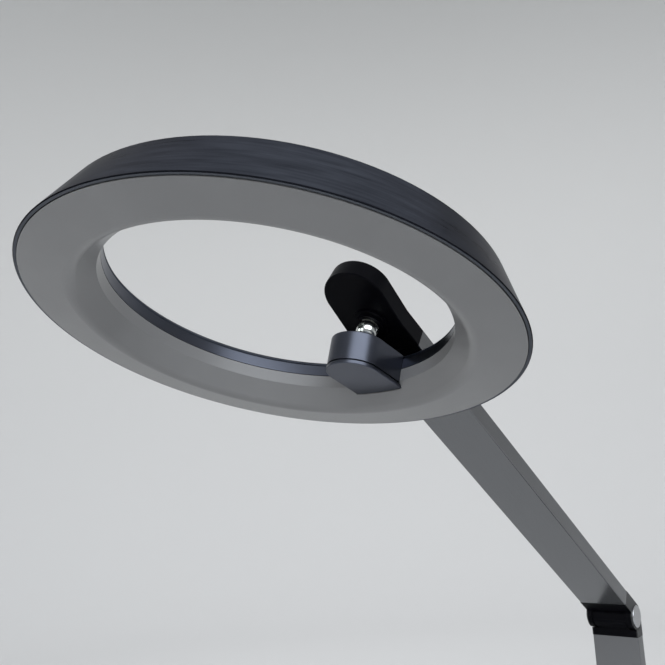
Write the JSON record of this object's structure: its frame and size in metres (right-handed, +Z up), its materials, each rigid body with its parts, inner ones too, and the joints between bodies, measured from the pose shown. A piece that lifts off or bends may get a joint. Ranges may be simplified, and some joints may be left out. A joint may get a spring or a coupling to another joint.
{
  "type": "swing arm desk lamp",
  "caption": "Desk lamp with a round weighted base, two hinged flat arms and a tilting, turning ring-shaped head with an opal diffuser.",
  "frame": {"origin": "centre of the base's underside, on the surface the lamp stands on", "axes": "+Z up, +X from the base towards the lamp head, +Y across the arms"},
  "size_m": [0.571, 0.2198, 0.6141],
  "materials": {
    "ring_metal": "brushed slate-blue anodised aluminium",
    "arm_metal": "satin grey anodised aluminium",
    "dark_metal": "dark grey anodised aluminium",
    "black_metal": "matt black die casting",
    "black_plastic": "fine-textured black moulding",
    "opal_plastic": "satin opal diffuser, unlit",
    "chrome": "polished chrome",
    "steel": "zinc-plated steel",
    "cast_weight": "painted cast iron",
    "rubber": "matt rubber",
    "bearing_plastic": "natural acetal",
    "circuit_board": "green solder mask",
    "led_board": "white solder mask on aluminium",
    "led": "yellow phosphor",
    "reflector": "white reflector film",
    "wire_sheath": "flexible sheath"
  },
  "bodies": {
    "base": {"base_pad": "rubber", "base_weight": "cast_weight", "base_cover": "arm_metal", "base_screws": "steel", "power_inlet": "black_plastic", "inlet_pin": "chrome", "swivel_bush": "bearing_plastic"},
    "turret": {"shoulder_yoke": "arm_metal", "swivel_spindle": "steel", "swivel_washer": "steel", "swivel_nut": "steel", "shoulder_pin": "steel", "shoulder_caps": "chrome"},
    "lower_arm": {"lower_arm_foot": "black_metal", "shoulder_bushes": "bearing_plastic", "shoulder_washers": "black_plastic", "lower_arm_tube": "arm_metal", "lower_arm_screws": "steel", "lower_arm_wire": "wire_sheath", "lower_arm_knuckle": "black_metal", "lower_hinge_covers": "dark_metal", "elbow_bushes": "bearing_plastic", "elbow_washers": "black_plastic"},
    "upper_arm": {"upper_arm_clevis": "black_metal", "upper_hinge_covers": "dark_metal", "elbow_pin": "steel", "elbow_caps": "chrome", "upper_arm_tube": "arm_metal", "upper_arm_screws": "steel", "upper_arm_wire": "wire_sheath", "arm_cap": "black_plastic", "arm_cap_lid": "black_plastic", "stud_bush": "bearing_plastic", "stud_collar": "black_plastic"},
    "swivel": {"swivel_ball": "chrome", "knuckle_pin": "steel", "stud_washer": "steel", "stud_nut": "steel"},
    "neck": {"neck": "chrome", "neck_washer": "steel", "neck_nut": "steel"},
    "head": {"neck_bush": "bearing_plastic", "boss_housing": "ring_metal", "touch_cover": "ring_metal", "touch_board": "circuit_board", "boss_screws": "steel", "ring_housing": "ring_metal", "inner_trim": "ring_metal", "diffuser": "opal_plastic", "outer_reflector": "reflector", "inner_reflector": "reflector", "led_board": "led_board", "board_screws": "steel", "leds": "led"}
  },
  "joints": [
    {"name": "base_swivel", "type": "hinge", "parent": "base", "child": "turret", "pos_m": [0, 0, 0.017], "axis": [0, 0, 1], "range_deg": [-170, 170]},
    {"name": "shoulder", "type": "hinge", "parent": "turret", "child": "lower_arm", "pos_m": [0, 0, 0.048], "axis": [0, 1, 0], "range_deg": [-35, 30]},
    {"name": "elbow", "type": "hinge", "parent": "lower_arm", "child": "upper_arm", "pos_m": [0.00395, 0, 0.388], "axis": [0, 1, 0], "range_deg": [-55, 45]},
    {"name": "head_turn", "type": "hinge", "parent": "upper_arm", "child": "swivel", "pos_m": [0.29264, 0, 0.56809], "axis": [-0.6561, 0, 0.7547], "range_deg": [-75, 75]},
    {"name": "head_tilt", "type": "hinge", "parent": "swivel", "child": "neck", "pos_m": [0.29264, 0, 0.56809], "axis": [0, 1, 0], "range_deg": [-40, 2]},
    {"name": "head_twist", "type": "hinge", "parent": "neck", "child": "head", "pos_m": [0.29264, 0, 0.56809], "axis": [-0.3256, 0, 0.9455], "range_deg": [-15, 15]}
  ]
}
